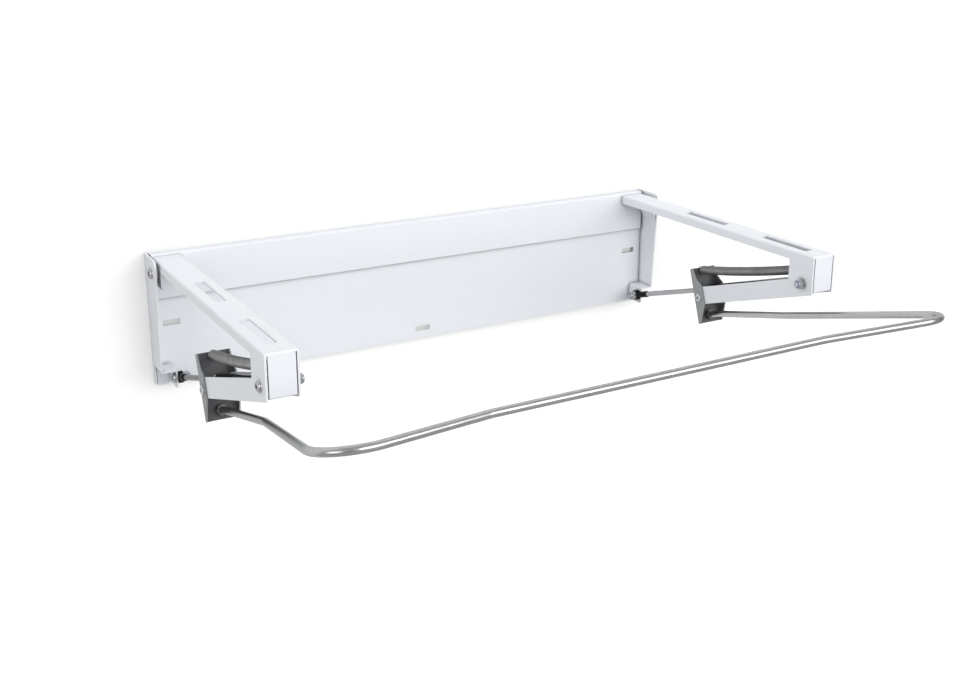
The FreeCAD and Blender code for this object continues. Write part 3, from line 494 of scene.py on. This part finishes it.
edge_widths = {"wall_plate": 0.5 * MM, "top_rail": 0.15 * MM}
for side in SIDES:
    edge_widths[side + "_side_bracket"] = 0.4 * MM
    edge_widths[side + "_arm"] = 0.25 * MM
for node, width in edge_widths.items():
    piece = eased_copy(node, width, white_coat)
    print(piece.name, len(piece.data.polygons), "faces")

# %% [markdown]
# The release brackets are folded from one grey sheet. The faces that look into the fold get a darker finish
# of
# their own, which is painted shade: it stands in for the shade that falls inside the fold, while the outer
# faces keep the lighter grey. A face looks into the fold if it faces the front on the web, or the other ear.
# It faces a direction if its normal has more than nine tenths of its length that way. Places on the bracket
# are measured from the rivets, up along the leaning web and out to the front, square to it.

# %% Release brackets with painted shade inside the fold
RELEASE_EDGE = 0.35 * MM
RIVET = Vector((0, -232.3, -23.1)) * MM
WEB_LEAN = math.radians(18.4)
WEB_UP = Vector((0, math.sin(WEB_LEAN), math.cos(WEB_LEAN)))
WEB_OUT = Vector((0, -math.cos(WEB_LEAN), math.sin(WEB_LEAN)))
WEB_FRONT = -9.7 * MM
WEB_REACH = 1 * MM
FACES_THAT_WAY = 0.9


def looks_into_fold(face, middle):
    """True for the front of the web, and for a side of an ear that faces the other ear."""
    out = (face.center - RIVET).dot(WEB_OUT)
    on_web_front = face.normal.dot(WEB_OUT) > FACES_THAT_WAY and out < WEB_FRONT + WEB_REACH
    beside = face.center.x - middle
    return on_web_front or (abs(face.normal.x) > FACES_THAT_WAY and beside * face.normal.x < 0)


for side, sign in SIDES.items():
    piece = eased_copy(side + "_release_bracket", RELEASE_EDGE, bracket_grey)
    # The second finish, painted shade, goes on the faces that look into the fold.
    piece.data.materials.append(bracket_inside)
    for face in piece.data.polygons:
        if looks_into_fold(face, sign * ARM_MIDDLE):
            face.material_index = 1
    print(piece.name, len(piece.data.polygons), "faces")

# %% [markdown]
# Bolts, nuts and rivets come from a press, and their edges are rounded as well. A width of a fifth of a
# millimetre is enough to give a nut's corners the fine bright lines by which the eye knows it. The nuts of
# the handle bar are a dark quality, the hollow rivets are duller than the bolts.

# %% Fasteners with broken edges
FASTENER_EDGE = 0.2 * MM
zinc_plated = ["pivot_bolt", "box_bolt", "box_bolt_nut", "box_bolt_washer",
               "rod_end_bolt", "rod_end_nut", "rod_end_washer"]
fasteners = {**{part: bright_zinc for part in zinc_plated},
             "handle_nuts": dark_nut_steel, "release_bracket_rivets": rivet_steel}
for side in SIDES:
    for part, finish in fasteners.items():
        piece = eased_copy(side + "_" + part, FASTENER_EDGE, finish)
        print(piece.name, len(piece.data.polygons), "faces")

# %% [markdown]
# The handle bar is one round bar, bent in a plane that rises to the front. A curve with a round section is
# the natural tool for it. Its corners are arcs, so the route is worked out from the straight runs and the
# radius of each bend, and the curve is made a mesh at the end. The corners are given for the right half, from
# the tail behind the web to the recess in the middle, and the left half mirrors them.

# %% Handle bar
BAR_RADIUS = 5 * MM
BAR_BELOW_RIVET = -29.8 * MM
TAIL_END = -20.7 * MM
STRAIGHT_END = 12.3 * MM
HANDLE_SLOPE = math.radians(14.8)
FLARE = (400, -405)
FRONT_CORNER = (443.3, -691.7)
RECESS = (235, -644.5)
ARC_STEP = math.radians(2.5)
WIRE_SMOOTH_WITHIN = math.radians(40)


def rounded_route(corners, radii, step=ARC_STEP):
    """Points along straight runs that meet in arcs, with the radius of the bend at each inner corner."""
    route = [Vector(corners[0])]
    for index, radius in enumerate(radii, start=1):
        corner = Vector(corners[index])
        before = (Vector(corners[index - 1]) - corner).normalized()
        after = (Vector(corners[index + 1]) - corner).normalized()
        half = before.angle(after) / 2
        centre = corner + (before + after).normalized() * (radius / math.sin(half))
        first = corner + before * (radius / math.tan(half)) - centre
        last = corner + after * (radius / math.tan(half)) - centre
        sweep = first.angle(last)
        count = max(2, math.ceil(sweep / step))
        for turn in range(count + 1):
            share = turn / count
            route.append(centre + (first * math.sin(sweep * (1 - share)) + last * math.sin(sweep * share))
                         / math.sin(sweep))
    route.append(Vector(corners[-1]))
    return route


def round_wire(name, route, radius, sides):
    """A mesh of round wire along the route, with closed ends."""
    curve = bpy.data.curves.new(name, "CURVE")
    curve.dimensions = "3D"
    curve.bevel_depth = radius
    curve.bevel_resolution = max(1, sides // 4 - 1)
    curve.use_fill_caps = True
    spline = curve.splines.new("POLY")
    spline.points.add(len(route) - 1)
    for point, place in zip(spline.points, route):
        point.co = (*place, 1)
    wire = bpy.data.objects.new(name, curve)
    bpy.context.collection.objects.link(wire)
    select_only(wire)
    bpy.ops.object.convert(target="MESH")
    wire = bpy.context.object
    bpy.ops.object.shade_smooth_by_angle(angle=WIRE_SMOOTH_WITHIN)
    return wire


def on_web(up, out, x=0.0):
    """A point measured from the rivets: up along the web and out to the front, square to it."""
    return RIVET + WEB_UP * up + WEB_OUT * out + Vector((x, 0, 0))


handle_start = on_web(BAR_BELOW_RIVET, STRAIGHT_END)


def in_handle_plane(x, y):
    """A point of the rising plane of the bar, from its X and Y in millimetres."""
    rise = (handle_start.y - y * MM) * math.tan(HANDLE_SLOPE)
    return Vector((x * MM, y * MM, handle_start.z + rise))


half_bar = [on_web(BAR_BELOW_RIVET, TAIL_END, ARM_MIDDLE), on_web(BAR_BELOW_RIVET, STRAIGHT_END, ARM_MIDDLE),
            in_handle_plane(*FLARE), in_handle_plane(*FRONT_CORNER), in_handle_plane(*RECESS)]
bend_radii = [60 * MM, 90 * MM, 50 * MM, 70 * MM]
other_half = [Vector((-p.x, p.y, p.z)) for p in reversed(half_bar)]
bar_route = rounded_route(half_bar + other_half, bend_radii + bend_radii[::-1])
handle = round_wire("handle_bar_round", bar_route, BAR_RADIUS, sides=48)
paint(handle, handle_steel)
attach(handle, "release_lever")
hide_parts("handle_bar")
print("handle bar:", len(bar_route), "stations")

# %% [markdown]
# An extension spring is one long wire, wound so close that the turns touch, with a hook at each end. The
# wire is followed turn by turn along the spring's own slightly sagging axis. The rear hook sits in the web
# of the release bracket and the front one on a pin in the arm, so the spring bends between the two.

# %% Coil springs
COIL_RADIUS = 6 * MM
COIL_SAG = 3.1 * MM
WIRE_RADIUS = 1 * MM
TURN_PITCH = 2.04 * WIRE_RADIUS
POINTS_PER_TURN = 20
GROWING_TURN = 0.75
AHEAD = 0.002
SPRING_HOLE = 42 * MM
COIL_FROM_WEB = 1.2 * MM
REAR_HOOK_TIP = 48.5 * MM
REAR_HOOK_REACH = 1.0 * MM
REAR_HOOK_BEND = 2.4 * MM
REAR_HOOK_STEP = math.radians(15)
BEHIND_WEB = -13.0 * MM
FRONT_HOOK_RADIUS = 4.4 * MM
ACROSS = Vector((1, 0, 0))

coil_rear = on_web(SPRING_HOLE, WEB_FRONT + COIL_FROM_WEB)
coil_front = Vector((0, -438, 72)) * MM
pin_centre = Vector((0, -449, 75.6)) * MM


def coil_axis(share):
    """A point of the spring's axis: a flat arc that sags in the middle."""
    straight = coil_rear.lerp(coil_front, share)
    return straight - Vector((0, 0, COIL_SAG)) * 4 * share * (1 - share)


def close_turns():
    """The wound part of the wire, which grows out of the axis at one end and back into it at the other."""
    turns = round((coil_front - coil_rear).length / TURN_PITCH)
    steps = turns * POINTS_PER_TURN
    grow = POINTS_PER_TURN * GROWING_TURN
    wound = []
    for step in range(steps + 1):
        share = (step + 1) / (steps + 2)
        ahead = (coil_axis(share + AHEAD) - coil_axis(share - AHEAD)).normalized()
        upright = ahead.cross(ACROSS)
        angle = 2 * math.pi * step / POINTS_PER_TURN
        radius = COIL_RADIUS * min(1.0, (step + 2) / grow, (steps - step + 2) / grow)
        wound.append(coil_axis(share) + ACROSS * (radius * math.cos(angle))
                     + upright * (radius * math.sin(angle)))
    return wound


def front_hook():
    """Nine tenths of a circle round the anchor pin."""
    to_pin = (pin_centre - coil_front).normalized()
    upright = to_pin.cross(ACROSS)
    angles = [math.radians(180 + 18 * turn) for turn in range(19)]
    return [pin_centre + to_pin * (FRONT_HOOK_RADIUS * math.cos(angle))
            + upright * (FRONT_HOOK_RADIUS * math.sin(angle)) for angle in angles]


def coil_route(x):
    """Rear hook, close turns and front hook of one spring, as one run of wire."""
    rear_corners = [on_web(REAR_HOOK_TIP, BEHIND_WEB), on_web(SPRING_HOLE, BEHIND_WEB),
                    coil_rear + WEB_OUT * REAR_HOOK_REACH]
    rear_hook = rounded_route(rear_corners, [REAR_HOOK_BEND], step=REAR_HOOK_STEP)
    return [p + Vector((x, 0, 0)) for p in rear_hook + close_turns() + front_hook()]


for side, sign in SIDES.items():
    spring = round_wire(side + "_coil_spring_wound", coil_route(sign * ARM_MIDDLE), WIRE_RADIUS, sides=8)
    paint(spring, spring_wire)
    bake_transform(spring)
    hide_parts(side + "_coil_spring")
    print(spring.name, len(spring.data.polygons), "faces")

# %% [markdown]
# A locking nut holds its bolt with a plastic ring that sits in the nut's collar. It is added at each nut as a
# flat cylinder, whose two round faces are inset and then bridged, which leaves a hole. The places are those
# of the collars' ends on the right side, in millimetres, with the body that carries each nut. The collars
# point to the middle of the bracket, and the ring's own middle stands out of them by a tenth of a millimetre.

# %% Locking rings
RING_RADIUS = 5.2 * MM
RING_THICKNESS = 0.7 * MM
RING_WALL = 1.1 * MM
RING_SMOOTH_WITHIN = math.radians(30)
STANDS_OUT = 0.1


def locking_ring(name, x, y, z):
    """A flat plastic ring at the end of a nut's collar, facing along X."""
    bpy.ops.mesh.primitive_cylinder_add(vertices=40, radius=RING_RADIUS, depth=RING_THICKNESS,
                                        location=(x, y, z), rotation=(0, math.radians(90), 0))
    ring = bpy.context.object
    ring.name = name
    settle(ring)
    bpy.ops.object.mode_set(mode="EDIT")
    bpy.ops.mesh.select_mode(type="FACE")
    bpy.ops.mesh.select_all(action="DESELECT")
    bpy.ops.object.mode_set(mode="OBJECT")
    for face in ring.data.polygons:
        face.select = abs(face.normal.x) > FACES_THAT_WAY
    bpy.ops.object.mode_set(mode="EDIT")
    bpy.ops.mesh.inset(thickness=RING_WALL)
    bpy.ops.mesh.bridge_edge_loops()
    bpy.ops.object.mode_set(mode="OBJECT")
    bpy.ops.object.shade_smooth_by_angle(angle=RING_SMOOTH_WITHIN)
    paint(ring, locking_ring_plastic)
    return ring


collar_ends = {"pivot": (407.7, -36.0, 82.5, "wall_mount"), "box_bolt": (370.1, -452.5, 56.9, "arms"),
               "rod_end": (386.3, -38.5, -73.8, None)}
for side, sign in SIDES.items():
    for label, (x, y, z, body) in collar_ends.items():
        name = side + "_" + label + "_locking_ring"
        ring = locking_ring(name, sign * (x - STANDS_OUT) * MM, y * MM, z * MM)
        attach(ring, body or side + "_gas_rod")
print("locking rings are on")

# %% [markdown]

# %% End
print("the bracket is dressed")
